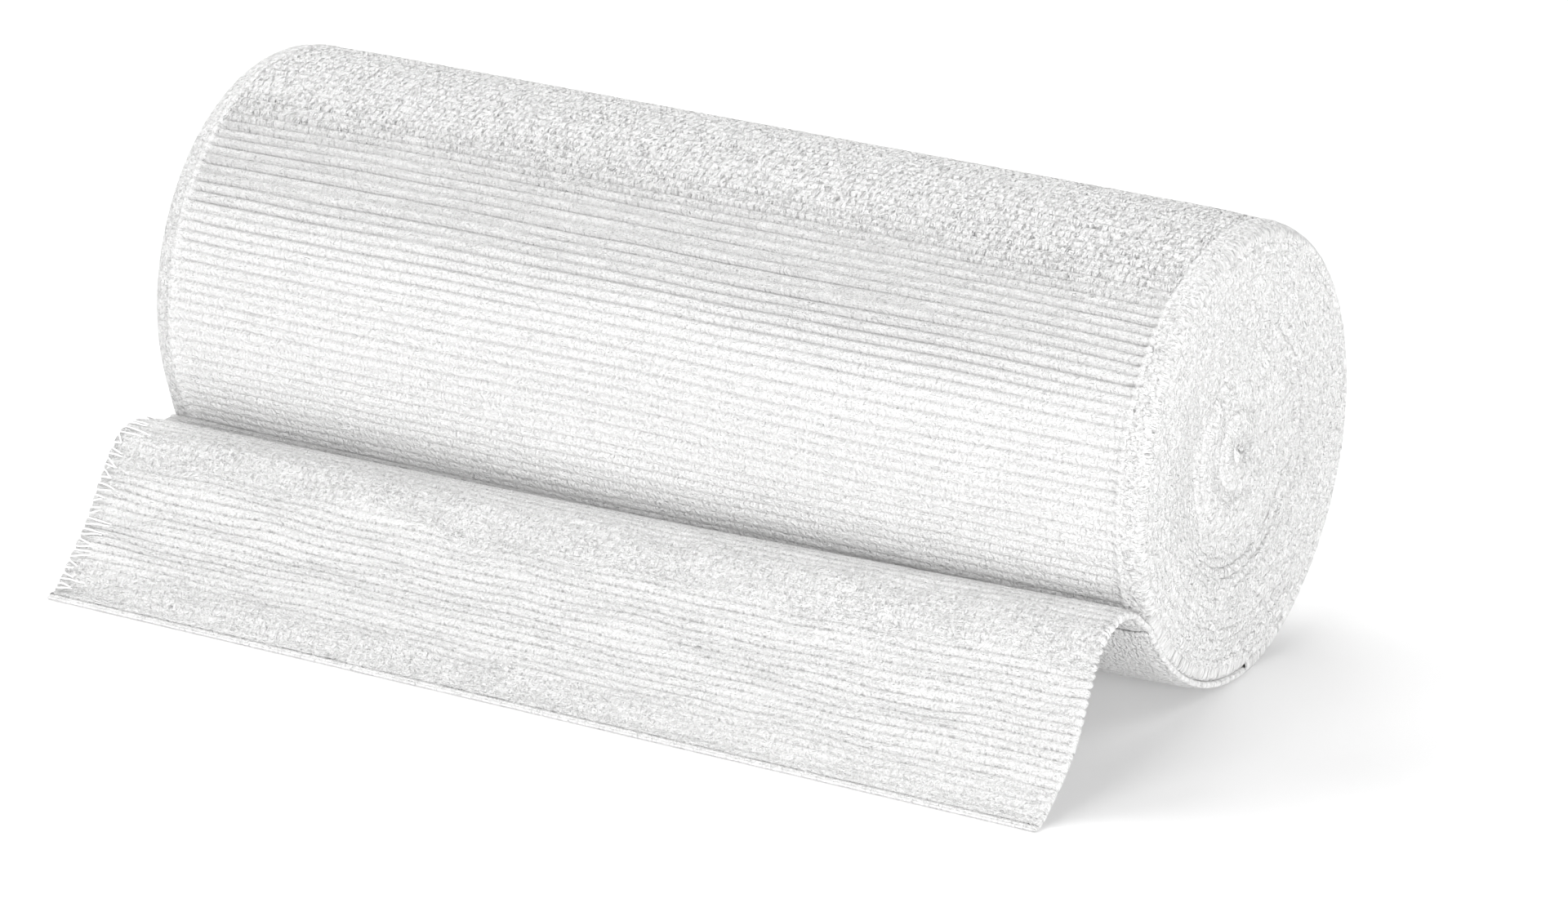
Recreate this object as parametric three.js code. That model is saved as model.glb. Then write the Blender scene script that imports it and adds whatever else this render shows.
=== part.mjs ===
// An elastic bandage: one woven strip of crepe, wound into a roll that lies on its side,
// with its loose end over a low hump in front of it. Millimetres, +Z up.
// X runs along the roll, from end to end. The loose end points towards -Y.

import * as THREE from 'three';

// The strip
const stripWidth = 150;         // from selvedge to selvedge, the length of the roll
const clothThickness = 1.2;
const ribPitch = 1.4;           // from rib to rib round the roll
const looseRibPitch = 1.3;      // the same ribs where the cloth isn't pulled tight
const ribHeight = 0.3;          // from a groove's floor to a rib's crest

// The roll
const firstRadius = 28.9;       // just above the line where the strip leaves it
const leavingAngle = 210;       // where the strip leaves, in degrees from +Y over the top
const slack = { depth: 0.5, angle: -85, spread: 45 };   // the last turn hangs off the underside
const oval = { depth: 0.45, angle: 75 };                // a wound roll is never quite round
const tightEnds = { left: 0.15, right: 0.35, reach: 14 };   // and its selvedges are wound tighter
const flatHalfWidth = 4.2;      // of the flat spot that the roll rests on
const rimFade = { under: 100, above: 8 };   // degrees in which the rim's rounding runs out into the strip
const rimSteps = [              // from the side of the roll round to its end face
  { inwards: 0, fromEnd: 11 },
  { inwards: 0, fromEnd: 2.4 },
  { inwards: 0.5, fromEnd: 0.8 },
  { inwards: 1.6, fromEnd: 0 },
];
const leftRimShare = 0.6;       // the left rim is less round than the right one
const middlePlaces = [0];       // where the outline is worked out again, along the roll

// The end faces: how deep they lie at each share of the radius
const endRings = [
  { share: 0.89, depth: 0 },
  { share: 0.78, depth: 0.25 },
  { share: 0.66, depth: 0.2 },
  { share: 0.56, depth: 0.5 },
  { share: 0.47, depth: 1.3 },
  { share: 0.38, depth: 1.6 },
  { share: 0.29, depth: 1.1 },
  { share: 0.2, depth: 1.5 },
  { share: 0.12, depth: 0.8 },
  { share: 0.05, depth: 1.2 },
];
const endRingSides = 48;
const coreDepth = 0.7;
const whorl = { height: 0.25, pitch: 7.5, reach: 0.7 };   // the turns show as one soft spiral

// The middle of the loose end's cloth, from the roll over the hump to the floor, at each selvedge
const looseEnd = [
  { fold: 'rise', left: [-27.8, 15.6], right: [-26.9, 17.2] },
  { fold: 'shoulder', left: [-31.5, 17.3], right: [-29.2, 19.1] },
  { fold: 'crest', left: [-34.6, 17.8], right: [-32.3, 20.0] },
  { fold: 'brow', left: [-37.3, 17.2], right: [-35.4, 19.4] },
  { fold: 'upper slope', left: [-39.3, 15.5], right: [-38.3, 17.4] },
  { fold: 'middle slope', left: [-42.5, 11.6], right: [-41.2, 12.9] },
  { fold: 'lower slope', left: [-45.4, 7.6], right: [-44.4, 7.8] },
  { fold: 'foot', left: [-48.5, 4.6], right: [-48.0, 4.2] },
  { fold: 'toe', left: [-51.3, 2.0], right: [-51.2, 1.9] },
  { fold: 'floor', left: [-52.9, 0.7], right: [-52.9, 0.7] },
];
const humpSag = { depth: 0.4, from: 1.5, to: 12 };   // the hump is lower half way along the roll

// The front hem: two fine cords in the cloth's edge, from under it over to the slope
const hemEdge = -54.9;
const hem = [
  { out: 2.1, up: 0 },
  { out: 0.35, up: 0 },
  { out: 0, up: 0.35 },
  { out: 0.35, up: 0.8 },
  { out: 0.7, up: 0.65 },
  { out: 1.1, up: 1.15 },
  { out: 1.5, up: 1.0 },
];

const { degToRad, radToDeg, lerp, smoothstep } = THREE.MathUtils;

// The radius of the roll without its ribs. A turn later it is one cloth thicker.
function rollRadius(angle, along) {
  const turned = (leavingAngle - angle) / 360;
  const hanging = slack.depth * Math.exp(-(((angle - slack.angle) / slack.spread) ** 2));
  const tall = oval.depth * Math.cos(degToRad(2 * (angle - oval.angle)));
  const fromEnd = stripWidth * Math.min(along, 1 - along);
  const depth = along < 0.5 ? tightEnds.left : tightEnds.right;
  const tight = depth * (1 - smoothstep(fromEnd, 0, tightEnds.reach));
  return firstRadius + clothThickness * turned + hanging + tall - tight;
}

// The height of the roll's middle, which cuts its flat spot to the width given half way along
const rollHeight = Math.sqrt(rollRadius(-90, 0.5) ** 2 - flatHalfWidth ** 2);

function onRoll(angle, along, outwards) {
  const radius = rollRadius(angle, along) + outwards;
  const turn = degToRad(angle);
  return [radius * Math.cos(turn), rollHeight + radius * Math.sin(turn)];
}

// The share of the rim's rounding at an angle: none where the strip comes away from the roll
function rimShare(angle) {
  const lastAngle = leavingAngle - 360;
  const under = smoothstep(angle, lastAngle, lastAngle + rimFade.under);
  const above = 1 - smoothstep(angle, leavingAngle - rimFade.above, leavingAngle);
  return under * above;
}

// Ribs stand half above and half below the cloth's mean face
function ribAt(k) {
  return (k % 2 ? ribHeight : -ribHeight) / 2;
}

// Round the roll from where the strip leaves it, over the top, to where it leaves again
const rollRibs = Math.round((2 * Math.PI * rollRadius(0, 0.5)) / ribPitch);
const flatAngle = radToDeg(Math.asin(flatHalfWidth / rollRadius(-90, 0.5)));

function rollOutline(along, inwards) {
  const step = 180 / rollRibs;
  const points = [];
  let flatMade = false;
  for (let k = 0; k <= rollRibs * 2; k += 1) {
    const angle = leavingAngle - k * step;
    if (Math.abs(angle + 90) > flatAngle + step) {
      const [y, z] = onRoll(angle, along, ribAt(k) - inwards * rimShare(angle));
      points.push([y, Math.max(z, ribHeight / 6)]);
    } else if (!flatMade) {
      const lift = inwards * rimShare(-90) + rollRadius(-90, 0.5) - rollRadius(-90, along);
      points.push([flatHalfWidth, lift], [-flatHalfWidth, lift]);
      flatMade = true;
    }
  }
  return points;
}

// The middle line of the loose end's cloth, from the roll to the hem
function looseLine(along) {
  const knots = looseEnd.map(({ left, right }) => {
    const z = lerp(left[1], right[1], along);
    const sag = humpSag.depth * Math.sin(Math.PI * along) * smoothstep(z, humpSag.from, humpSag.to);
    return new THREE.Vector3(0, lerp(left[0], right[0], along), z - sag);
  });
  const start = onRoll(leavingAngle - 360, along, -clothThickness / 2);
  return new THREE.CatmullRomCurve3([new THREE.Vector3(0, ...start), ...knots], false, 'centripetal');
}

const looseRibs = Math.round(looseLine(0.5).getLength() / looseRibPitch);

// The loose end: under it out to the hem, round the hem, and back over it
function looseOutline(along) {
  const line = looseLine(along);
  const under = [];
  const over = [];
  for (let k = 1; k < looseRibs * 2; k += 1) {
    const { y, z } = line.getPointAt(k / (looseRibs * 2));
    const way = line.getTangentAt(k / (looseRibs * 2));
    const reach = (clothThickness - ribHeight) / 2 + ribAt(k);
    if (k < looseRibs * 2 - 2) {
      under.push([y - way.z * reach, Math.max(z + way.y * reach, ribHeight / 6)]);
    }
    if (k > 1) {
      over.unshift([y + way.z * reach, z - way.y * reach]);
    }
  }
  return [...under, ...hem.map(({ out, up }) => [hemEdge + out, up]), ...over];
}

// The whole section of the bandage at a place along the roll, as one closed outline
function bandageOutline(x, inwards) {
  const along = x / stripWidth + 0.5;
  return [...rollOutline(along, inwards), ...looseOutline(along)];
}

// One ring of an end face, round the roll's middle
function endRing(side, { share, depth }) {
  const along = side > 0 ? 1 : 0;
  const radius = share * rollRadius(30, along);
  const ring = [];
  for (let k = 0; k < endRingSides; k += 1) {
    const turn = (2 * Math.PI * k) / endRingSides;
    const winding = Math.cos((2 * Math.PI * radius) / whorl.pitch - turn);
    const relief = share < whorl.reach ? whorl.height * winding : 0;
    const x = side * (stripWidth / 2 - depth + relief);
    ring.push([x, radius * Math.cos(turn), rollHeight + radius * Math.sin(turn)]);
  }
  return ring;
}

// The roll and its loose end are one closed body: a side made of outlines, and two end faces
function bandageGeometry() {
  const positions = [];
  const faces = [];
  const addRing = (ring) => {
    const first = positions.length / 3;
    ring.forEach((point) => positions.push(...point));
    return ring.map((_, k) => first + k);
  };
  const join = (ringA, ringB, flip) => {
    ringA.forEach((a, k) => {
      const next = (k + 1) % ringA.length;
      const quad = [a, ringA[next], ringB[next], ringB[k]];
      const [p, q, r, s] = flip ? quad.reverse() : quad;
      faces.push(p, q, r, p, r, s);
    });
  };

  const places = [
    ...rimSteps.map(({ inwards, fromEnd }) => (
      { x: fromEnd - stripWidth / 2, inwards: inwards * leftRimShare }
    )).reverse(),
    ...middlePlaces.map((x) => ({ x, inwards: 0 })),
    ...rimSteps.map(({ inwards, fromEnd }) => ({ x: stripWidth / 2 - fromEnd, inwards })),
  ];
  const outlines = places.map(({ x, inwards }) => (
    addRing(bandageOutline(x, inwards).map(([y, z]) => [x, y, z]))
  ));
  outlines.slice(1).forEach((outline, k) => join(outlines[k], outline, true));

  [-1, 1].forEach((side) => {
    const edge = side > 0 ? outlines.at(-1) : outlines[0];
    const rings = endRings.map((row) => addRing(endRing(side, row)));
    const flat = (index) => new THREE.Vector2(positions[index * 3 + 1], positions[index * 3 + 2]);
    const corners = [...edge, ...rings[0]];
    THREE.ShapeUtils.triangulateShape(edge.map(flat), [rings[0].map(flat)]).forEach((triangle) => {
      const [a, b, c] = triangle.map((k) => corners[k]);
      const turnsLeft = flat(b).sub(flat(a)).cross(flat(c).sub(flat(a))) > 0;
      faces.push(...(turnsLeft === side > 0 ? [a, b, c] : [a, c, b]));
    });
    rings.slice(1).forEach((ring, k) => join(rings[k], ring, side < 0));
    const inner = rings.at(-1);
    const [core] = addRing([[side * (stripWidth / 2 - coreDepth), 0, rollHeight]]);
    inner.forEach((a, k) => {
      const b = inner[(k + 1) % inner.length];
      faces.push(...(side > 0 ? [a, b, core] : [b, a, core]));
    });
  });

  const geometry = new THREE.BufferGeometry();
  geometry.setAttribute('position', new THREE.Float32BufferAttribute(positions, 3));
  geometry.setIndex(faces);
  geometry.computeVertexNormals();
  geometry.computeBoundingBox();
  return geometry;
}

const whiteCrepe = new THREE.MeshStandardMaterial({ color: 0xf4f3f0, roughness: 0.95, metalness: 0 });
const bandage = new THREE.Mesh(bandageGeometry(), whiteCrepe);
bandage.name = 'bandage';

// The origin is under the middle of the whole part
const { min, max } = bandage.geometry.boundingBox;
bandage.position.y = -(min.y + max.y) / 2;

const part = new THREE.Group();
part.add(bandage);
export default part;
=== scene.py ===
import math

import bmesh
import bpy
from mathutils import Matrix, Vector, noise


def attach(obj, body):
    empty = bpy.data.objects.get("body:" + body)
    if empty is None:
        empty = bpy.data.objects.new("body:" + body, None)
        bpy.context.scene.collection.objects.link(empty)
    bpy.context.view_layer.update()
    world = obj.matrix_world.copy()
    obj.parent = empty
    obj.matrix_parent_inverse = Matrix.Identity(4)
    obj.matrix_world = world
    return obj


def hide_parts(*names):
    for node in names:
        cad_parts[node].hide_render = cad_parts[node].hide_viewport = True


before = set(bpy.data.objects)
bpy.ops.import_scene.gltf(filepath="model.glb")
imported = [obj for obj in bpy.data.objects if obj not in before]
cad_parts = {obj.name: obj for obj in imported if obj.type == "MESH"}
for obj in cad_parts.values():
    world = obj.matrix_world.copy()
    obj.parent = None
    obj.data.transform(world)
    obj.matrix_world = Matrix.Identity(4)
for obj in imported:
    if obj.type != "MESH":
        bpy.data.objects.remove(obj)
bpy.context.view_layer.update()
mm = 0.001  # lengths below are millimetres, and meshes are metres

# The camera stands where the photograph was taken from
view = {
    "place": (458.2, -720.8, 362.8),
    "azimuth": 31.643,
    "elevation": 21.836,
    "roll": -1.031,
    "lens": 161.6,
    "sensor": 36,
    "clip": (0.01, 20),
}

cameraData = bpy.data.cameras.new("camera")
cameraData.lens = view["lens"]
cameraData.sensor_width = view["sensor"]
cameraData.clip_start, cameraData.clip_end = view["clip"]
camera = bpy.data.objects.new("camera", cameraData)
bpy.context.scene.collection.objects.link(camera)
camera.matrix_world = (
    Matrix.Translation(Vector(view["place"]) * mm)
    @ Matrix.Rotation(math.radians(view["azimuth"]), 4, "Z")
    @ Matrix.Rotation(math.radians(90 - view["elevation"]), 4, "X")
    @ Matrix.Rotation(math.radians(view["roll"]), 4, "Z")
)
bpy.context.scene.camera = camera
print("camera placed")

# The strip and the form it is wound into, as in the frame
strip = {"halfWidth": 75.0, "thickness": 1.2, "ribHeight": 0.3}
floorGap = 0.02  # kept between the cloth and the table
roll = {
    "middleY": 12.763,
    "firstRadius": 28.9,
    "leavingAngle": 210,  # degrees from +Y over the top
    "slackDepth": 0.5,
    "slackAngle": -85,
    "slackSpread": 45,
    "ovalDepth": 0.45,
    "ovalAngle": 75,
    "tightLeft": 0.15,
    "tightRight": 0.35,
    "tightReach": 14,
    "flatHalfWidth": 4.2,
}


def smoothStep(low, high, value):
    t = min(max((value - low) / (high - low), 0), 1)
    return t * t * (3 - 2 * t)


def mix(a, b, t):
    return a + (b - a) * t


def rollRadius(angle, x):
    hanging = roll["slackDepth"] * math.exp(-(((angle - roll["slackAngle"]) / roll["slackSpread"]) ** 2))
    tall = roll["ovalDepth"] * math.cos(math.radians(2 * (angle - roll["ovalAngle"])))
    tightEnd = roll["tightLeft"] if x < 0 else roll["tightRight"]
    tight = tightEnd * (1 - smoothStep(0, roll["tightReach"], strip["halfWidth"] - abs(x)))
    turned = (roll["leavingAngle"] - angle) / 360
    return roll["firstRadius"] + strip["thickness"] * turned + hanging + tall - tight


rollHeight = math.sqrt(rollRadius(-90, 0) ** 2 - roll["flatHalfWidth"] ** 2)


def onRoll(angle, x, outwards):
    radius = rollRadius(angle, x) + outwards
    turn = math.radians(angle)
    return roll["middleY"] + radius * math.cos(turn), rollHeight + radius * math.sin(turn)


# A seed for each kind of unevenness
seeds = {
    "shift": 2.5,
    "fineShift": 7.5,
    "groove": 12.5,
    "fineGroove": 31.5,
    "pebbleEdge": 21.5,
    "finePebbleEdge": 22.5,
    "shadeBandEdge": 23.5,
    "rim": 51.5,
    "tip": 4.5,
    "fineTip": 8.5,
    "turnSide": 14.5,
    "ripple": 91.5,
    "grainyCrest": 61.5,
    "grainyFoot": 62.5,
    "fluff": 71.5,
    "lobe": 72.5,
    "threadReach": 81.5,
    "threadMeet": 82.5,
    "threadLength": 83.5,
    "threadStart": 84.5,
    "threadWay": 85.5,
}
offLattice = 0.5  # the noise is nought at whole numbers, so a single row of it lies between them


def wander(x, y, kind, more=0):
    return noise.noise(Vector((x, y, seeds[kind] + more)))


# How the crepe's ribs run: never quite straight, and no two grooves equally deep
ribs = {
    "shift": 0.42,  # in ribs
    "shiftLength": 44,
    "shiftRibs": 11,
    "fineShift": 0.12,
    "fineLength": 13,
    "fineRibs": 4,
    "grooveDepth": 0.42,
    "depthSpread": 0.9,
    "depthLength": 24,
    "depthStep": 0.83,  # how unlike two neighbouring grooves are
    "fineDepth": 0.6,
    "fineDepthLength": 5,
    "fineDepthStep": 1.7,
    "sharpness": 0.62,
}


def ribShift(x, rib):
    slow = wander(x / ribs["shiftLength"], rib / ribs["shiftRibs"], "shift")
    fine = wander(x / ribs["fineLength"], rib / ribs["fineRibs"], "fineShift")
    return ribs["shift"] * slow + ribs["fineShift"] * fine


def grooveAt(x, rib, alternate=0, moreSeed=0):
    nearest = round(rib)
    own = wander(x / ribs["depthLength"], nearest * ribs["depthStep"], "groove", moreSeed)
    fine = wander(x / ribs["fineDepthLength"], nearest * ribs["fineDepthStep"], "fineGroove", moreSeed)
    own += ribs["fineDepth"] * fine
    own += alternate if nearest % 2 == 0 else -alternate
    depth = ribs["grooveDepth"] * (1 + ribs["depthSpread"] * own)
    return depth * (1 - abs(math.sin(math.pi * rib)) ** ribs["sharpness"])


ribSteps = (0, 0.14, 0.36, 0.64, 0.86)  # places across one rib where it has a row of points


def ribRows(first, last, steps=ribSteps):
    return [rib + step for rib in range(first, last) for step in steps] + [last]


def clothMesh(columnCount, rowCount, placeAt):
    # placeAt gives a point, its place across and along the cloth, and its weave and shade,
    # which is how much of it is pebbles, cords and selvedge grain, and how much painted shade it gets
    bm = bmesh.new()
    bmesh.ops.create_grid(bm, x_segments=columnCount - 1, y_segments=rowCount - 1, size=0.5)
    weaveAndShade = bm.verts.layers.float_color.new("weaveAndShade")
    clothPlace = {}
    for vert in bm.verts:
        column = round((vert.co.x + 0.5) * (columnCount - 1))
        row = round((vert.co.y + 0.5) * (rowCount - 1))
        point, clothPlace[vert.index], kinds = placeAt(column, row)
        vert[weaveAndShade] = kinds
        vert.co = Vector(point) * mm
    return bm, clothPlace


def addPiece(name, data):
    piece = bpy.data.objects.new(name, data)
    bpy.context.scene.collection.objects.link(piece)
    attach(piece, "root")
    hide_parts("bandage")
    return piece


def finishCloth(bm, name, clothPlace, material):
    uvLayer = bm.loops.layers.uv.new("clothPlace")
    for face in bm.faces:
        face.smooth = True
        for loop in face.loops:
            loop[uvLayer].uv = clothPlace[loop.vert.index]
    bmesh.ops.remove_doubles(bm, verts=bm.verts, dist=0.002 * mm)
    bmesh.ops.recalc_face_normals(bm, faces=bm.faces)
    mesh = bpy.data.meshes.new(name)
    bm.to_mesh(mesh)
    bm.free()
    mesh.materials.append(material)
    print(name, len(mesh.polygons), "faces")
    return addPiece(name, mesh)


crepe = {
    # thread is the cloth's own white; shade is the darker tone of its grain and of the painted shade, and pit the
    # colour of painted shade in its pits and dashes
    "thread": (0.95, 0.948, 0.945, 1),
    "shade": (0.68, 0.677, 0.675, 1),
    "pitShade": (0.42, 0.416, 0.414, 1),
    "pebbleHeight": 0.95,
    "yarnHeight": 0.3,
    "grainHeight": 0.5,
    "selvedgeHeight": 0.28,
    "surface": {
        "Roughness": 0.92,
        "Specular IOR Level": 0.15,
        "Sheen Weight": 0.1,
        "Sheen Roughness": 0.6,
    },
}
crepeTextures = {  # with how many cells or waves to a millimetre across and to a rib along
    "pebbles": ("ShaderNodeTexVoronoi", 1.05, 1.0, {"Randomness": 0.34}),
    "yarn": ("ShaderNodeTexNoise", 0.9, 7.0, {"Detail": 3.0, "Roughness": 0.65}),
    "grain": ("ShaderNodeTexNoise", 2.4, 2.8, {"Detail": 2.0, "Roughness": 0.6}),
    "loops": ("ShaderNodeTexVoronoi", 1.7, 2.4, {"Randomness": 1.0}),
    "streaks": ("ShaderNodeTexNoise", 0.25, 1.0, {"Detail": 3.0, "Roughness": 0.65}),
    "dashes": ("ShaderNodeTexNoise", 1.5, 1.0, {"Detail": 1.0, "Roughness": 0.5}),
    "spots": ("ShaderNodeTexNoise", 1.9, 1.7, {"Detail": 0.0}),
}
crepeRamps = {  # the values between which each of them comes in
    "groove": (0.3, 0.95),
    "dashedGroove": (0.7, 0.95),
    "pebbles": (0.5, 0.74),
    "grain": (0.58, 0.36),
    "loops": (0.38, 0.7),
    "streaks": (0.6, 0.4),
    "dashes": (0.52, 0.66),
    "spots": (0.61, 0.7),
}
# the grain and the streaks are the cloth's own tone; the rest is painted shade in grooves, hollows and pits, and
# in the shaded band
crepeShares = {  # how dark each of them is
    "grooves": 0.6,
    "shadeBandGrooves": 0.6,
    "cordedGrooves": 0.28,
    "everyOther": 0.7,
    "paintedShade": 0.48,
    "shadeBandStreaks": 0.3,
    "cordedStreaks": 0.1,
    "grain": 0.32,
    "edgedGrain": 0.12,
    "pebbles": 0.95,
    "loops": 0.45,
    "shadeBandDashes": 0.8,
    "dashes": 0.55,
    "holeShade": 0.6,
}
ribsBefore = 500.0  # added to a rib's number, so that it is never below nought


def crepeMaterial():
    material = bpy.data.materials.new("whiteCrepe")
    material.use_nodes = True
    nodes, links = material.node_tree.nodes, material.node_tree.links
    shader = nodes["Principled BSDF"]
    for key, value in crepe["surface"].items():
        shader.inputs[key].default_value = value

    cloth = nodes.new("ShaderNodeUVMap")
    cloth.uv_map = "clothPlace"
    weaveAndShade = nodes.new("ShaderNodeAttribute")
    weaveAndShade.attribute_name = "weaveAndShade"
    kinds = nodes.new("ShaderNodeSeparateColor")
    links.new(weaveAndShade.outputs["Color"], kinds.inputs["Color"])
    pebbly, corded, edged = kinds.outputs["Red"], kinds.outputs["Green"], kinds.outputs["Blue"]
    paintedShade = weaveAndShade.outputs["Alpha"]
    place = nodes.new("ShaderNodeSeparateXYZ")
    links.new(cloth.outputs["UV"], place.inputs["Vector"])
    rib = place.outputs["Y"]

    def texture(kind, perMillimetre, perRib, settings):
        mapping = nodes.new("ShaderNodeMapping")
        mapping.inputs["Scale"].default_value = (perMillimetre, perRib, 1)
        links.new(cloth.outputs["UV"], mapping.inputs["Vector"])
        node = nodes.new(kind)
        links.new(mapping.outputs["Vector"], node.inputs["Vector"])
        node.inputs["Scale"].default_value = 1
        for key, value in settings.items():
            node.inputs[key].default_value = value
        return node.outputs["Distance" if kind == "ShaderNodeTexVoronoi" else "Fac"]

    def plug(value, socket):
        if isinstance(value, (int, float, tuple)):
            socket.default_value = value
        else:
            links.new(value, socket)

    def sums(operation, *values):
        node = nodes.new("ShaderNodeMath")
        node.operation = operation
        for value, socket in zip(values, node.inputs):
            plug(value, socket)
        return node.outputs["Value"]

    def plus(a, b):
        return sums("ADD", a, b)

    def minus(a, b):
        return sums("SUBTRACT", a, b)

    def times(a, b):
        return sums("MULTIPLY", a, b)

    def larger(a, b):
        return sums("MAXIMUM", a, b)

    def ramp(value, kind):
        node = nodes.new("ShaderNodeMapRange")
        node.interpolation_type = "SMOOTHSTEP"
        plug(value, node.inputs["Value"])
        low, high = crepeRamps[kind]
        node.inputs["From Min"].default_value = low
        node.inputs["From Max"].default_value = high
        return node.outputs["Result"]

    def blend(share, a, b):
        node = nodes.new("ShaderNodeMix")
        node.data_type = "RGBA"
        plug(share, node.inputs["Factor"])
        plug(a, node.inputs["A"])
        plug(b, node.inputs["B"])
        return node.outputs["Result"]

    def bump(height, distance, before=None):
        node = nodes.new("ShaderNodeBump")
        node.inputs["Distance"].default_value = distance * mm
        links.new(height, node.inputs["Height"])
        if before:
            links.new(before, node.inputs["Normal"])
        return node.outputs["Normal"]

    def fromMiddle(value):
        return sums("ABSOLUTE", minus(sums("FRACT", plus(value, ribsBefore)), 0.5))

    # how near a groove between two ribs a place is, 1 in it and 0 on a rib's crest
    groove = times(fromMiddle(rib), 2.0)
    inGroove = ramp(groove, "groove")
    textures = {name: texture(*row) for name, row in crepeTextures.items()}
    grain, loops, pebbles = textures["grain"], textures["loops"], textures["pebbles"]

    normal = bump(times(minus(1.0, pebbles), pebbly), crepe["pebbleHeight"])
    normal = bump(textures["yarn"], crepe["yarnHeight"], normal)
    normal = bump(grain, crepe["grainHeight"], normal)
    normal = bump(times(minus(1.0, loops), edged), crepe["selvedgeHeight"], normal)
    links.new(normal, shader.inputs["Normal"])

    shares = crepeShares
    # painted shade in the grooves between the ribs, more in the shaded band and less on the loose end's cords;
    # every other groove is the darker one, but not in the loose end
    uneven = minus(shares["everyOther"], times(corded, shares["everyOther"]))
    fainter = times(uneven, minus(0.5, fromMiddle(times(rib, 0.5))))
    ribbed = minus(times(paintedShade, shares["shadeBandGrooves"]), times(corded, shares["cordedGrooves"]))
    ribbed = times(plus(shares["grooves"], ribbed), minus(1.0, fainter))
    plain = minus(1.0, larger(pebbly, edged))
    ribbed = times(times(inGroove, plain), ribbed)
    streaks = ramp(textures["streaks"], "streaks")
    # painted shade, streaked: the darker band in front of the top, and also the rim, the flat left selvedge and
    # the hem
    bandShade = times(paintedShade, plus(shares["paintedShade"], times(streaks, shares["shadeBandStreaks"])))
    streaky = times(streaks, times(corded, shares["cordedStreaks"]))
    speckled = times(ramp(grain, "grain"), minus(shares["grain"], times(edged, shares["edgedGrain"])))
    # painted shade in the hollows between the pebbles, and between the selvedge grain's loops
    deep = times(ramp(pebbles, "pebbles"), times(pebbly, shares["pebbles"]))
    between = times(ramp(loops, "loops"), times(edged, shares["loops"]))
    # the grain's and the streaks' own tone together with the painted shade
    grainAndShade = plus(plus(ribbed, streaky), plus(speckled, bandShade))
    grainAndShade = plus(grainAndShade, larger(deep, between))
    colour = blend(sums("MINIMUM", grainAndShade, 1.0), crepe["thread"], crepe["shade"])

    # painted shade in pits: dark dashes deep in the grooves, and small holes among the cords and the pebbles
    dashShade = times(ramp(groove, "dashedGroove"), larger(corded, times(paintedShade, shares["shadeBandDashes"])))
    dashShade = times(dashShade, ramp(textures["dashes"], "dashes"))
    holeShade = times(larger(times(corded, inGroove), pebbly), ramp(textures["spots"], "spots"))
    pitShadeShare = larger(times(dashShade, shares["dashes"]), times(holeShade, shares["holeShade"]))
    links.new(blend(pitShadeShare, colour, crepe["pitShade"]), shader.inputs["Base Color"])
    return material


whiteCrepe = crepeMaterial()
print("material made")

# The last turn, from under the loose end over the top of the roll and round to its underside
lastTurn = {
    "startAngle": 270,
    "ribCount": 132,
    "fixedRibs": 3,  # at each end the ribs run straight
    "columnPitch": 1.55,
    "edges": (  # from the selvedge's tip: how far in, how far below the face, and the share of the ribs
        (1.0, 2.0, 0),
        (0.15, 1.85, 0),
        (0.0, 1.55, 0),
        (0.12, 1.15, 0),
        (0.4, 0.78, 0),
        (0.85, 0.47, 0),
        (1.4, 0.26, 0),
        (2.0, 0.12, 0),
        (2.5, 0.04, 0),
        (2.8, -0.2, 0),
        (3.1, -0.3, 0),
        (3.35, -0.2, 0.3),
        (3.7, -0.05, 0.85),
        (4.1, 0, 1),
    ),
    "rimFade": 100,
    "rimInset": 0.1,
    "rimShade": 0.3,
    "rimLeast": 0.5,
    "leftRimShare": 0.6,
    "squareAbove": (200, 214),  # next to the loose end the selvedge isn't rounded
    "squareBelow": (-90, -50),
    "squareDrop": (0.8, 1.6),
    "bead": (0.05, 0.15),  # the low bead where the ribs begin, and how much of it the pebbles hide
    "beadHidden": 0.8,
    "unevenness": 0.08,
    "unevenLength": 0.9,
    "unevenRibs": 1.1,
    "alternate": 0.12,
    "shadeBandAlternate": 0.18,
    "lowAngles": (188, 206),  # the face turns plain and grainy down by the gap
    "lowShare": 0.5,
    "shadeBandOpens": 0.35,
    "pebblesClose": 0.35,
    "pressedOut": 0.85,
}
pebbles = {  # angles in degrees from +Y over the top
    "least": 0.12,
    "edge": 112,
    "edgeSpread": 5,
    "spreadLength": 30,
    "fineSpread": 3,
    "fineLength": 7,
    "fade": 16,
    "underside": (-150, -60),
}
# the band in front of the top where shade is painted, angles in degrees from +Y over the top
shadeBand = {
    "start": (104, 124),
    "edge": 158,
    "edgeSpread": 6,
    "spreadLength": 25,
    "fade": 26,
    "rightLess": 0.4,
    "rightReach": (30, 72),
}


def rimShare(angle):
    lastAngle = roll["leavingAngle"] - 360
    return smoothStep(lastAngle, lastAngle + lastTurn["rimFade"], angle)


def edgeColumns(edges, halfWidth, pitch):
    # columns across the strip: place, drop, share of the ribs, and side
    inner = edges[-1][0]
    count = round(2 * (halfWidth - inner) / pitch)
    middle = [mix(-(halfWidth - inner), halfWidth - inner, k / count) for k in range(1, count)]
    left = [(-(halfWidth - inwards), drop, share, -1) for inwards, drop, share in edges]
    right = [(halfWidth - inwards, drop, share, 1) for inwards, drop, share in reversed(edges)]
    return left + [(x, 0, 1, 0) for x in middle] + right


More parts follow.
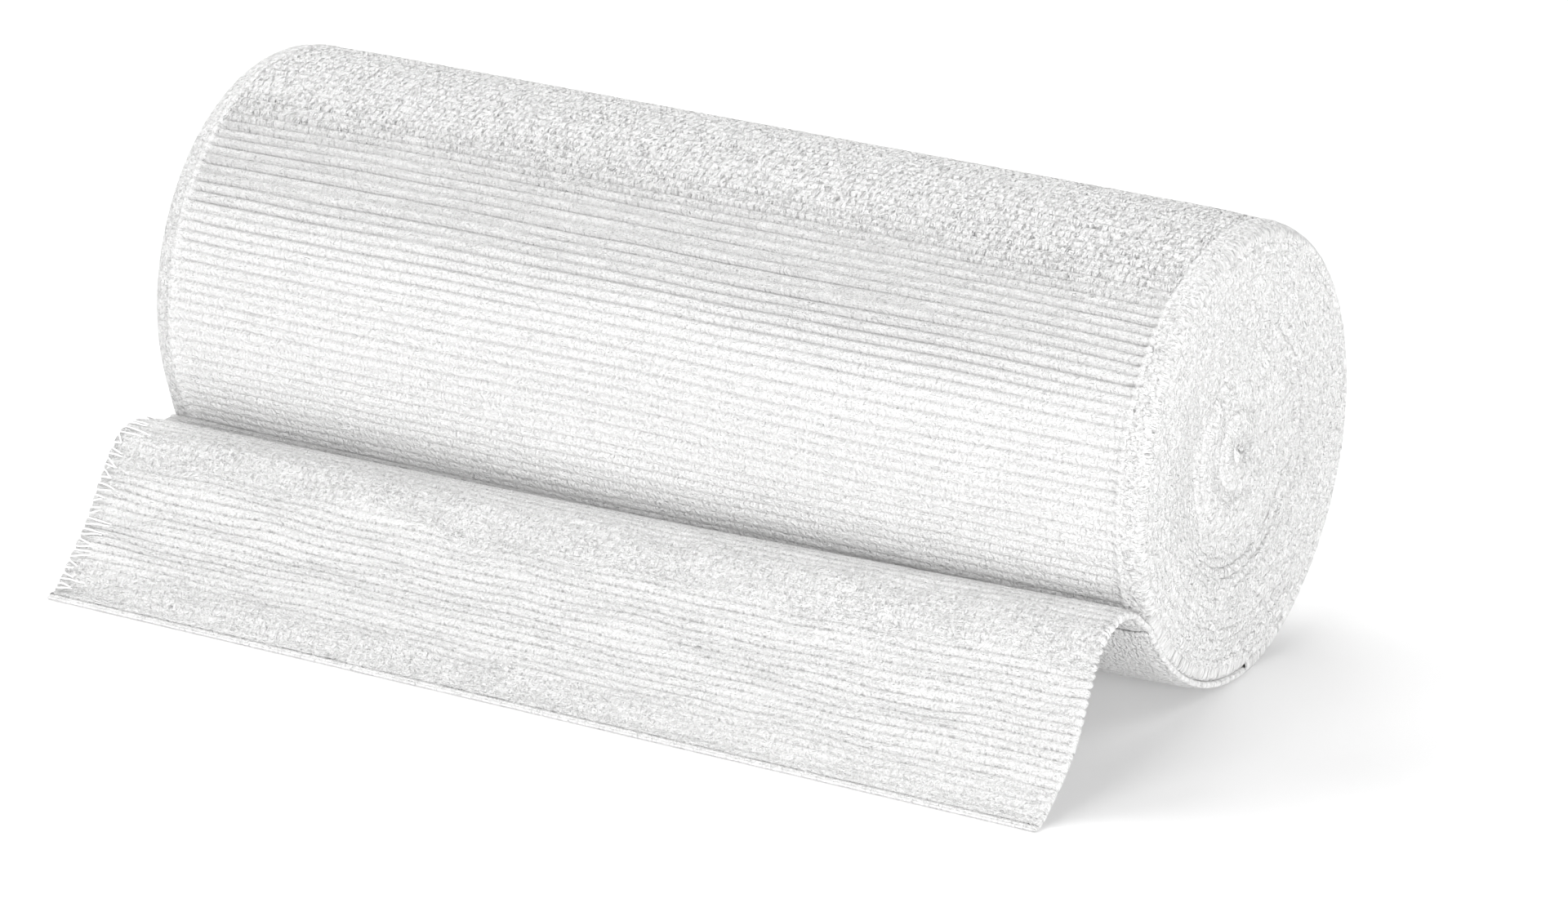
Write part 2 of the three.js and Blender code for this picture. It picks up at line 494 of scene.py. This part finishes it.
def pebblesAt(angle, x):
    # the crepe is drawn smooth down the front, and stays pebbly over the top and behind
    edge = pebbles["edge"] + pebbles["edgeSpread"] * wander(x / pebbles["spreadLength"], offLattice, "pebbleEdge")
    edge += pebbles["fineSpread"] * wander(x / pebbles["fineLength"], offLattice, "finePebbleEdge")
    over = 1 - smoothStep(edge, edge + pebbles["fade"], angle)
    under = smoothStep(*pebbles["underside"], angle)
    return pebbles["least"] + (1 - pebbles["least"]) * over * under


def shadeBandAt(angle, x):
    # painted shade: a darker band just in front of the top, less to the right, where the grooves are also cut more
    # open
    edge = shadeBand["edge"] + shadeBand["edgeSpread"] * wander(x / shadeBand["spreadLength"], offLattice, "shadeBandEdge")
    started = smoothStep(*shadeBand["start"], angle)
    ended = smoothStep(edge - shadeBand["fade"], edge, angle)
    return started * (1 - ended) * (1 - shadeBand["rightLess"] * smoothStep(*shadeBand["rightReach"], x))


def makeLastTurn():
    columns = edgeColumns(lastTurn["edges"], strip["halfWidth"], lastTurn["columnPitch"])
    ribCount = lastTurn["ribCount"]
    rows = ribRows(0, ribCount)

    def placeAt(column, row):
        x, drop, share, side = columns[column]
        rib = rows[row]
        free = smoothStep(0, lastTurn["fixedRibs"], rib) * smoothStep(0, lastTurn["fixedRibs"], ribCount - rib)
        angle = lastTurn["startAngle"] - (rib + ribShift(x, rib) * free) * 360 / ribCount
        pebbly, paintedShade = pebblesAt(angle, x), shadeBandAt(angle, x)
        rim = rimShare(angle) * (lastTurn["leftRimShare"] if side < 0 else 1)
        bent = x - side * lastTurn["rimInset"] * rim

        if drop < 0:
            softened = drop * (1 - lastTurn["beadHidden"] * pebbly)
        else:
            above = smoothStep(*lastTurn["squareAbove"], angle)
            square = max(above, 1 - smoothStep(*lastTurn["squareBelow"], angle))
            rounded = drop * mix(lastTurn["rimLeast"], 1, rim)
            softened = mix(rounded, drop * smoothStep(*lastTurn["squareDrop"], drop), square)
        low = smoothStep(*lastTurn["lowAngles"], angle)
        opened = (1 - lastTurn["pebblesClose"] * pebbly) * (1 + lastTurn["shadeBandOpens"] * paintedShade)
        opened *= 1 - lastTurn["lowShare"] * low
        groove = grooveAt(x, rib, lastTurn["alternate"] + lastTurn["shadeBandAlternate"] * paintedShade)
        outwards = strip["ribHeight"] / 2 - groove * share * opened - softened
        if angle > 180:  # under the loose end, pressed out against it
            slack = (angle - 360 - roll["slackAngle"]) / roll["slackSpread"]
            outwards += lastTurn["pressedOut"] * roll["slackDepth"] * math.exp(-slack * slack)
        if share < 1:
            uneven = wander(x * lastTurn["unevenLength"], rib * lastTurn["unevenRibs"], "rim")
            outwards += lastTurn["unevenness"] * uneven * (1 - share)
        y, z = onRoll(angle, x, outwards)

        beaded = smoothStep(*lastTurn["bead"], -drop) if drop < 0 and share < 0.5 else 0
        edge = (1 - share) * (1 - beaded)
        # painted shade for the weave's fourth share: the band in front of the top, and the rounded rim
        shade = paintedShade * share + lastTurn["rimShade"] * edge
        kinds = (pebbly * share, 0, max(edge, lastTurn["lowShare"] * low), shade)
        return (bent, y, max(z, floorGap)), (x, rib), kinds

    bm, clothPlace = clothMesh(len(columns), len(rows), placeAt)
    return finishCloth(bm, "lastTurn", clothPlace, whiteCrepe)


lastTurnPiece = makeLastTurn()

# The turns inside it, one long spiral of the same strip whose selvedges make the end faces
turns = {
    "startAngle": 270,
    "count": 23.1,
    "step": 0.46,  # between rows along the strip
    "inset": 0.05,
    "hanging": 0.8,  # share of the last turn's slack that reaches the turns inside it
    "slackReach": 22,
    "knotPitch": 1.1,
    "knotHeight": 0.12,
    "tipSpread": 0.22,
    "tipLengths": (1.5, 0.7),
    "tipShares": (1, 0.8),
    "tipsApart": (9.5, 7.5),  # between the two ends' noises
    "sideSpread": 0.2,
    "sideLength": 1.1,
    "sidesApart": 5.5,
    "pressed": 0.16,  # how far neighbouring turns press into one another at the faces
    "corePressed": 0.42,
    "coreReach": (15, 23),
    "edges": ((0.0, 0.0), (0.03, 0.5), (0.1, 0.84), (0.3, 1.0), (3.5, 1.0)),
    "nearFace": 1,
    "innerDepth": 0.3,
    "faceRings": (  # share of the radius, and how deep the face lies there
        (1.0, 0.2),
        (0.96, 0.1),
        (0.91, 0.02),
        (0.87, 0.02),
        (0.78, 0.2),
        (0.7, 0.25),
        (0.49, 1.5),
        (0.38, 1.7),
        (0.29, 1.2),
        (0.2, 1.5),
        (0.13, 0.7),
        (0.06, 1.1),
        (0.0, 0.9),
    ),
    "whorlHeight": 0.15,
    "whorlPitch": 7.5,
    "whorlReach": 0.7,
    "ribPitch": 1.4,
}


def faceDepth(radius, angle):
    share = radius / roll["firstRadius"]
    rings = turns["faceRings"]
    depth = rings[0][1]
    for (shareA, depthA), (shareB, depthB) in zip(rings, rings[1:]):
        if shareB <= share <= shareA:
            depth = mix(depthB, depthA, smoothStep(shareB, shareA, share))
    if share < turns["whorlReach"]:
        depth += turns["whorlHeight"] * math.cos(2 * math.pi * radius / turns["whorlPitch"] - math.radians(angle))
    return depth


def turnMiddle(angle):
    turned = (roll["leavingAngle"] - angle) / 360
    radius = roll["firstRadius"] + strip["thickness"] * (turned - 0.5)
    tall = roll["ovalDepth"] * math.cos(math.radians(2 * (angle - roll["ovalAngle"])))
    place = (angle - roll["slackAngle"] + 180) % 360 - 180
    hanging = roll["slackDepth"] * math.exp(-((place / roll["slackSpread"]) ** 2))
    outer = smoothStep(turns["slackReach"], roll["firstRadius"], radius)
    return radius + tall * radius / roll["firstRadius"] - turns["inset"] + turns["hanging"] * hanging * outer


def tipUnevenness(along, side):
    uneven = 0
    for kind, length, share, apart in zip(
        ("tip", "fineTip"), turns["tipLengths"], turns["tipShares"], turns["tipsApart"]
    ):
        uneven += share * wander(along / length, side * apart, kind)
    return turns["tipSpread"] * uneven


def makeWoundTurns():
    angles, lengths = [turns["startAngle"]], [0]
    while angles[-1] < turns["startAngle"] + 360 * turns["count"]:
        angles.append(angles[-1] + math.degrees(turns["step"] / turnMiddle(angles[-1])))
        lengths.append(lengths[-1] + turns["step"])
    edges = turns["edges"]
    over = [(-1, *edge) for edge in edges] + [(1, *edge) for edge in reversed(edges)]
    under = [(side, inwards, -share) for side, inwards, share in reversed(over)][1:]
    columns = over + under

    def placeAt(column, row):
        side, inwards, share = columns[column]
        angle, along = angles[row], lengths[row]
        middle = turnMiddle(angle)
        nearFace = inwards < turns["nearFace"]
        knot = abs(math.sin(math.pi * along / turns["knotPitch"] + side))
        depth = faceDepth(middle, angle) + (0 if nearFace else turns["innerDepth"])
        tip = strip["halfWidth"] - depth - turns["knotHeight"] * (1 - knot) - tipUnevenness(along, side)
        spread = share * strip["thickness"] / 2
        if nearFace:
            core = 1 - smoothStep(*turns["coreReach"], middle)
            spread += share * (turns["pressed"] + turns["corePressed"] * core)
            uneven = wander(along / turns["sideLength"], side * turns["sidesApart"], "turnSide")
            spread += turns["sideSpread"] * uneven
            spread -= roll["tightRight"] if side > 0 else roll["tightLeft"]
        radius = middle + spread
        turn = math.radians(angle)
        x = side * (tip - inwards)
        y = roll["middleY"] + radius * math.cos(turn)
        z = rollHeight + radius * math.sin(turn)
        return (x, y, z), (x + side * radius, along / turns["ribPitch"]), (0, 0, 1, 0)

    bm, clothPlace = clothMesh(len(columns), len(angles), placeAt)
    return finishCloth(bm, "woundTurns", clothPlace, whiteCrepe), lengths[-1]


woundTurnsPiece, woundLength = makeWoundTurns()
print("wound length", round(woundLength), "mm")

# The loose end, from the roll's underside over the hump to its hem on the floor
looseEnd = {
    "knots": (  # middle of the cloth at the left and right selvedge, across and up from under the roll's middle
        ((-27.8, 15.6), (-26.9, 17.2)),
        ((-31.5, 17.3), (-29.2, 19.1)),
        ((-34.6, 17.8), (-32.3, 20.0)),
        ((-37.3, 17.2), (-35.4, 19.4)),
        ((-39.3, 15.5), (-38.3, 17.4)),
        ((-42.5, 11.6), (-41.2, 12.9)),
        ((-45.4, 7.6), (-44.4, 7.8)),
        ((-48.5, 4.6), (-48.0, 4.2)),
        ((-51.3, 2.0), (-51.2, 1.9)),
        ((-52.9, 0.65), (-52.9, 0.65)),
        ((-54.0, 0.3), (-54.0, 0.3)),
        ((-54.9, 0.2), (-54.9, 0.2)),
    ),
    "arcAngles": (-90, -150),  # where it still lies under the roll
    "arcSteps": 30,
    "knotSteps": 8,
    "sagDepth": 0.4,
    "sagHeights": (1.5, 12),
    "arcRibs": 23,
    "freeRibs": 33,
    "shiftFrom": 200,  # ribs, so that its shifts aren't those of the last turn
    "ripple": 0.35,  # of its ribs, on top of the strip's own shift
    "rippleLength": 9,
    "rippleRibs": 3,
    "grooveShare": 0.8,
    "underGrooves": 0.45,
    "underSeed": 40,
    "grooveStart": (-2, 6),  # ribs from the roll
    "columnPitch": 0.8,
    "edges": ((0.0, 0.0), (0.05, 0.5), (0.2, 0.85), (0.5, 1.0), (1.0, 1.0), (1.6, 1.0), (2.3, 1.0)),
    "hemRows": 16,
    "hemLength": 0.85,
    "hemReach": 0.42,
    "hemRibs": 0.65,
    "hemTaper": 4,  # ribs over which the cloth thins to its hem
    "cords": ((0.18, 0.31, 0.17), (0.52, 0.45, 0.18)),  # from the hem's edge: how far in, how high, how thick
    # the hem's weave: selvedge grain, and painted shade on its cords
    "hemKinds": (0, 0, 0.5, 0.3),
    "base": 0.03,
    "hemTipHeight": 0.3,
    "flatLeft": (1.2, 3.6),  # distances from the selvedge between which the cloth is flat and then ribbed
    "flatRight": (0.2, 0.9),
    "flatByRoll": (0.6, 2.2),
    "flatByRollRibs": (7, 10),
    "flatGroove": 0.85,
    "flatDepth": 0.15,
    "flatShade": 0.4,
    "thinRibs": (3, 9),
    "grainyCrest": (11.5, 4.2),  # ribs from the roll to the middle of the grainy band, and its half width
    "grainyFoot": (30.5, 4.0),
    "crestSpread": (1.5, 12),  # ribs that the band wanders, and in what length
    "footSpread": (2, 9),
    "footRightLess": 0.6,
    "footReach": (-20, 60),
    "grainyGroove": 0.75,
    "grainyCords": 0.8,
    "grainyWeave": 0.5,
    "fluff": 0.25,
    "fluffLength": 0.9,
    "fluffRibs": 1.2,
    "underKinds": (0, 0.1, 0.6, 0),
    "lobeReach": 1.6,
    "lobeSharpness": 0.7,
    "lobeSpread": 0.8,
    "lobeStep": 0.9,
    "leftLobeRibs": 1.5,
    "leftLobeDepth": 0.4,
    "rightLobeDepth": 0.45,
    "rightLobes": (14, 9),
}


def smoothLine(knots, perSpan):
    # a centripetal line through the knots
    points = [2 * knots[0] - knots[1], *knots, 2 * knots[-1] - knots[-2]]
    line = []
    for a, b, c, d in zip(points, points[1:], points[2:], points[3:]):
        tb = (b - a).length ** 0.5
        tc = tb + (c - b).length ** 0.5
        td = tc + (d - c).length ** 0.5
        for k in range(perSpan):
            t = mix(tb, tc, k / perSpan)
            ab = a.lerp(b, t / tb)
            bc = b.lerp(c, (t - tb) / (tc - tb))
            cd = c.lerp(d, (t - tc) / (td - tc))
            abc = ab.lerp(bc, t / tc)
            bcd = bc.lerp(cd, (t - tb) / (td - tb))
            line.append(abc.lerp(bcd, (t - tb) / (tc - tb)))
    return line + [knots[-1]]


def looseLine(x):
    # the cloth's middle from under the roll to the hem, and the point where its free part starts
    share = x / (2 * strip["halfWidth"]) + 0.5
    half = strip["thickness"] / 2
    knots = []
    for left, right in looseEnd["knots"]:
        y, z = mix(left[0], right[0], share), mix(left[1], right[1], share)
        z -= looseEnd["sagDepth"] * math.sin(math.pi * share) * smoothStep(*looseEnd["sagHeights"], z)
        knots.append(Vector((y + roll["middleY"], z)))
    arc = []
    for k in range(looseEnd["arcSteps"] + 1):
        y, z = onRoll(mix(*looseEnd["arcAngles"], k / looseEnd["arcSteps"]), x, -half)
        arc.append(Vector((y, max(z, half + floorGap))))
    return arc[:-1] + smoothLine([arc[-1], *knots], looseEnd["knotSteps"]), len(arc) - 1


def spacedPoints(line, distances):
    points, k, gone = [], 0, 0
    for distance in distances:
        while k < len(line) - 2 and gone + (line[k + 1] - line[k]).length < distance:
            gone += (line[k + 1] - line[k]).length
            k += 1
        way = line[k + 1] - line[k]
        points.append((line[k] + way * ((distance - gone) / max(way.length, 1e-9)), way.normalized()))
    return points


def lineLength(line):
    return sum((b - a).length for a, b in zip(line, line[1:]))


def looseLengths(x):
    # that line, how long it is under the roll, and how long its free part is without the hem
    line, freeStart = looseLine(x)
    arcLength = lineLength(line[: freeStart + 1])
    return line, arcLength, lineLength(line) - arcLength - looseEnd["hemLength"]


def band(rib, place):
    middle, reach = place
    return 1 - smoothStep(0.4, 1, abs(rib - middle) / reach)


def flatAt(x, rib):
    # along its selvedges the cloth has no ribs: widely on the left, and on the right most next to the roll
    fromEdge = strip["halfWidth"] - abs(x)
    if x < 0:
        return 1 - smoothStep(*looseEnd["flatLeft"], fromEdge)
    byRoll = 1 - smoothStep(*looseEnd["flatByRollRibs"], rib)
    wide = (1 - smoothStep(*looseEnd["flatByRoll"], fromEdge)) * byRoll
    return max(1 - smoothStep(*looseEnd["flatRight"], fromEdge), wide)


def grainyAt(x, rib):
    crestSpread, crestLength = looseEnd["crestSpread"]
    footSpread, footLength = looseEnd["footSpread"]
    crest = band(rib + crestSpread * wander(x / crestLength, 0, "grainyCrest"), looseEnd["grainyCrest"])
    foot = band(rib + footSpread * wander(x / footLength, 0, "grainyFoot"), looseEnd["grainyFoot"])
    leftMore = 1 - looseEnd["footRightLess"] * smoothStep(*looseEnd["footReach"], x)
    return max(crest, leftMore * foot)


def selvedgeLobe(x, rib):
    # how far the selvedge is drawn in between two of its lobes
    left = x < 0
    depth = looseEnd["leftLobeDepth"] if left else looseEnd["rightLobeDepth"] * band(rib, looseEnd["rightLobes"])
    lobe = math.pi * (rib / looseEnd["leftLobeRibs"] + 0.5 if left else rib)
    dent = depth * (1 - abs(math.sin(lobe)) ** looseEnd["lobeSharpness"])
    dent *= 1 - smoothStep(0, looseEnd["lobeReach"], strip["halfWidth"] - abs(x))
    return dent * (1 + looseEnd["lobeSpread"] * wander(offLattice, rib * looseEnd["lobeStep"], "lobe"))


def hemTop(fromHem):
    top = 0
    for inwards, height, size in looseEnd["cords"]:
        away = (fromHem - inwards) / size
        if abs(away) < 1:
            top = max(top, height + size * math.sqrt(1 - away * away))
    return top


def hemBottom(fromHem):
    inwards, height, size = looseEnd["cords"][0]
    away = (fromHem - inwards) / size
    bottom = height - size * math.sqrt(1 - away * away) if -1 < away < 0 else 0
    return max(bottom, looseEnd["base"])


def makeLooseEnd():
    half, edges, freeRibs = strip["halfWidth"], looseEnd["edges"], looseEnd["freeRibs"]
    inner = half - edges[-1][0]
    count = round(2 * inner / looseEnd["columnPitch"])
    columns = [(-(half - inwards), share) for inwards, share in edges]
    columns += [(mix(-inner, inner, k / count), 1) for k in range(1, count)]
    columns += [(half - inwards, share) for inwards, share in reversed(edges)]
    rows = ribRows(-looseEnd["arcRibs"], 0, (0, 0.5))[:-1] + ribRows(0, freeRibs)
    hemRows = [k / looseEnd["hemRows"] for k in range(1, looseEnd["hemRows"] + 1)]
    sideRows = len(rows) + len(hemRows)

    lines = []
    for x, _ in columns:
        line, arcLength, clothLength = looseLengths(x)
        distances = []
        for rib in rows:
            if rib < 0:
                distances.append(arcLength * (1 + rib / looseEnd["arcRibs"]))
            else:
                ripple = wander(x / looseEnd["rippleLength"], rib / looseEnd["rippleRibs"], "ripple")
                shift = ribShift(x, rib + looseEnd["shiftFrom"]) + looseEnd["ripple"] * ripple
                moved = rib + shift * smoothStep(0, 3, rib) * smoothStep(0, 2, freeRibs - rib)
                distances.append(arcLength + clothLength * moved / freeRibs)
        distances += [arcLength + clothLength + looseEnd["hemLength"] * share for share in hemRows]
        lines.append(spacedPoints(line, distances))
    placesAlong = rows + [freeRibs + looseEnd["hemRibs"] * share for share in hemRows]

    edgeY = looseEnd["knots"][-1][0][0] + roll["middleY"]
    fullReach = (strip["thickness"] - strip["ribHeight"]) / 2 + strip["ribHeight"]

    def reachAt(x, rib, over, flat, grainy):
        fade = smoothStep(*looseEnd["grooveStart"], rib)
        groove = 0
        if rib >= 0:
            groove = grooveAt(x, rib) if over else grooveAt(x, rib + 0.5, 0, looseEnd["underSeed"])
        groove *= (1 - looseEnd["grainyGroove"] * grainy) * looseEnd["grooveShare" if over else "underGrooves"]
        groove *= min(freeRibs - rib, 1)
        reach = fullReach - groove * fade * (1 - looseEnd["flatGroove"] * flat) - looseEnd["flatDepth"] * flat
        if x > 0:
            reach -= looseEnd["flatDepth"] * flat * (1 - smoothStep(*looseEnd["thinRibs"], rib))
        reach = mix(reach, looseEnd["hemReach"], smoothStep(freeRibs - looseEnd["hemTaper"], freeRibs, rib))
        if over:
            fluff = wander(x / looseEnd["fluffLength"], rib * looseEnd["fluffRibs"], "fluff")
            reach += looseEnd["fluff"] * grainy * fluff
        return reach

    def placeAt(column, row):
        x, share = columns[column]
        row %= 2 * sideRows
        over = row < sideRows
        index = row if over else 2 * sideRows - 1 - row
        (point, way), rib = lines[column][index], placesAlong[index]
        out = Vector((-way.y, way.x)) * (-1 if over else 1)
        if index < len(rows):
            flat, grainy = flatAt(x, rib), grainyAt(x, rib)
            spot = point + out * reachAt(x, rib, over, flat, grainy) * share
            dent = selvedgeLobe(x, rib)
            bent = x + (dent if x < 0 else -dent)
            kinds = looseEnd["underKinds"]
            if over:
                # the fourth share is painted shade on the flat left selvedge, between its threads
                woven = looseEnd["grainyWeave"] * grainy
                corded = (1 - looseEnd["grainyCords"] * grainy) * (1 - flat)
                kinds = (woven, corded, woven, looseEnd["flatShade"] * flat if x < 0 else 0)
            return (bent, spot.x, max(spot.y, looseEnd["base"])), (x, rib), kinds
        into = (index - len(rows) + 1) / len(hemRows)
        cloth = point + out * looseEnd["hemReach"] * (1 - into) ** 3
        fromHem = point.x - edgeY
        z = max(hemTop(fromHem), cloth.y) if over else hemBottom(fromHem)
        z = mix(point.y, z, share) if index < sideRows - 1 else looseEnd["hemTipHeight"]
        return (x, point.x, z), (x, rib), looseEnd["hemKinds"]

    bm, clothPlace = clothMesh(len(columns), 2 * sideRows + 1, placeAt)
    line, _ = looseLine(0)
    return finishCloth(bm, "looseEnd", clothPlace, whiteCrepe), lineLength(line)


looseEndPiece, looseLength = makeLooseEnd()

# Fine threads of the left selvedge, two from each of its lobes to where a cord starts
selvedge = {
    "firstRib": 5.25,
    "lobes": 18,
    "lobeRibs": 1.5,
    "radius": 0.12,
    "points": 6,
    "fromEdge": 0.2,
    "reach": 2.4,
    "reachSpread": 3.0,
    "reachStep": 0.77,
    "lengthSpread": 0.6,
    "lengthStep": (3.5, 0.9),  # between a lobe's two threads, and from lobe to lobe
    "apart": 0.32,  # share of a lobe from its middle to where a thread starts
    "apartSpread": 0.2,
    "apartStep": (2.5, 0.7),
    "meetSpread": 0.8,
    "meetStep": 0.61,
    "meetApart": 0.12,
    "bend": 1.2,
    "waySpread": 0.25,
    "wayStep": (4.5, 1.5),
    "lift": 0.12,
    "sunk": 0.04,
    "endSunk": 0.1,
    "thin": 0.75,
    "thicker": 0.35,
    "paint": (0.94, 0.937, 0.934, 1),
    "roughness": 0.85,
    "specular": 0.2,
}


def threadPaint():
    material = bpy.data.materials.new("whiteThread")
    material.use_nodes = True
    shader = material.node_tree.nodes["Principled BSDF"]
    shader.inputs["Base Color"].default_value = selvedge["paint"]
    shader.inputs["Roughness"].default_value = selvedge["roughness"]
    shader.inputs["Specular IOR Level"].default_value = selvedge["specular"]
    return material


def onLooseEnd(x, rib, outwards):
    line, arcLength, clothLength = looseLengths(x)
    point, way = spacedPoints(line, [arcLength + clothLength * rib / looseEnd["freeRibs"]])[0]
    reach = (strip["thickness"] - strip["ribHeight"]) / 2 + strip["ribHeight"] + outwards
    return x, point.x + way.y * reach, point.y - way.x * reach


def makeSelvedgeThreads():
    curve = bpy.data.curves.new("selvedgeThreads", "CURVE")
    curve.dimensions = "3D"
    curve.bevel_depth = selvedge["radius"] * mm
    curve.bevel_resolution = 1
    curve.use_fill_caps = True
    for lobe in range(selvedge["lobes"]):
        rib = selvedge["firstRib"] + lobe * selvedge["lobeRibs"]
        reach = selvedge["reach"]
        reach += selvedge["reachSpread"] * wander(offLattice, rib * selvedge["reachStep"], "threadReach")
        meet = rib + selvedge["lobeRibs"] / 2
        meet += selvedge["meetSpread"] * wander(offLattice, rib * selvedge["meetStep"], "threadMeet")
        for side in (-1, 1):
            between, onwards = selvedge["lengthStep"]
            own = reach * (1 + selvedge["lengthSpread"] * wander(side * between, rib * onwards, "threadLength"))
            between, onwards = selvedge["apartStep"]
            apart = selvedge["apart"]
            apart += selvedge["apartSpread"] * wander(side * between, rib * onwards, "threadStart")
            start = rib + selvedge["lobeRibs"] * (0.5 + side * apart)
            between, onwards = selvedge["wayStep"]
            spline = curve.splines.new("POLY")
            spline.points.add(selvedge["points"] - 1)
            for k, spot in enumerate(spline.points):
                share = k / (selvedge["points"] - 1)
                x = selvedge["fromEdge"] - strip["halfWidth"] + own * share
                along = mix(start, meet + side * selvedge["meetApart"], share ** selvedge["bend"])
                along += selvedge["waySpread"] * wander(side * between + share * onwards, rib, "threadWay")
                arch = math.sin(math.pi * share)
                lift = selvedge["lift"] * arch - selvedge["sunk"] - selvedge["endSunk"] * share ** 4
                spot.co = (*(value * mm for value in onLooseEnd(x, along, lift)), 1)
                spot.radius = selvedge["thin"] + selvedge["thicker"] * arch
    rod = bpy.data.objects.new("selvedgeRod", curve)
    bpy.context.scene.collection.objects.link(rod)
    mesh = bpy.data.meshes.new_from_object(rod.evaluated_get(bpy.context.evaluated_depsgraph_get()))
    bpy.data.objects.remove(rod)
    bpy.data.curves.remove(curve)
    mesh.name = "selvedgeThreads"
    mesh.materials.clear()
    mesh.materials.append(threadPaint())
    for face in mesh.polygons:
        face.use_smooth = True
    print("selvedgeThreads", len(mesh.polygons), "faces")
    return addPiece("selvedgeThreads", mesh)


selvedgePiece = makeSelvedgeThreads()
print("loose length", round(looseLength), "mm")

# Studio: a pale glowing table without an edge in view, and soft white light from all round
studio = {
    "white": (1, 1, 1, 1),
    "floorSize": 8.0,
    "floorPaint": (0.82, 0.82, 0.82, 1),
    "floorRoughness": 0.9,
    "floorGlow": 0.13,
    "airStrength": 0.21,
    "lampSize": 0.7,
    "lampAim": (0, 0, 0.03),
}

bm = bmesh.new()
bmesh.ops.create_grid(bm, x_segments=1, y_segments=1, size=studio["floorSize"] / 2)
floorMesh = bpy.data.meshes.new("floor")
bm.to_mesh(floorMesh)
bm.free()
floor = bpy.data.objects.new("floor", floorMesh)
bpy.context.scene.collection.objects.link(floor)
floorPaint = bpy.data.materials.new("floorPaint")
floorPaint.use_nodes = True
floorShader = floorPaint.node_tree.nodes["Principled BSDF"]
floorShader.inputs["Base Color"].default_value = studio["floorPaint"]
floorShader.inputs["Roughness"].default_value = studio["floorRoughness"]
floorShader.inputs["Emission Color"].default_value = studio["white"]
floorShader.inputs["Emission Strength"].default_value = studio["floorGlow"]
floorMesh.materials.append(floorPaint)

air = bpy.data.worlds.new("studioAir")
bpy.context.scene.world = air
air.use_nodes = True
sky = air.node_tree.nodes["Background"]
sky.inputs["Color"].default_value = studio["white"]
sky.inputs["Strength"].default_value = studio["airStrength"]
bpy.context.scene.view_settings.view_transform = "Standard"

lamps = {  # where each stands, in metres, and its power
    "frontHighLamp": ((-0.3, -0.95, 0.75), 4.9),
    "frontLowLamp": ((-0.3, -1.15, 0.2), 2.3),
    "frontRightLamp": ((0.8, -0.85, 0.35), 1.8),
    "rightLowLamp": ((1.0, -0.7, 0.12), 13.8),
    "rightHighLamp": ((0.8, 0.3, 0.9), 3.5),
    "leftHighLamp": ((-0.8, 0.1, 0.9), 7.1),
    "leftBackLamp": ((-0.6, 0.6, 0.85), 3.1),
    "backLamp": ((-0.2, 0.7, 0.95), 3.8),
}
for name, (place, power) in lamps.items():
    lampData = bpy.data.lights.new(name, "AREA")
    lampData.size = studio["lampSize"]
    lampData.energy = power
    lamp = bpy.data.objects.new(name, lampData)
    bpy.context.scene.collection.objects.link(lamp)
    aim = Vector(studio["lampAim"]) - Vector(place)
    lamp.matrix_world = Matrix.Translation(place) @ aim.to_track_quat("-Z", "Y").to_matrix().to_4x4()
print("studio lit")
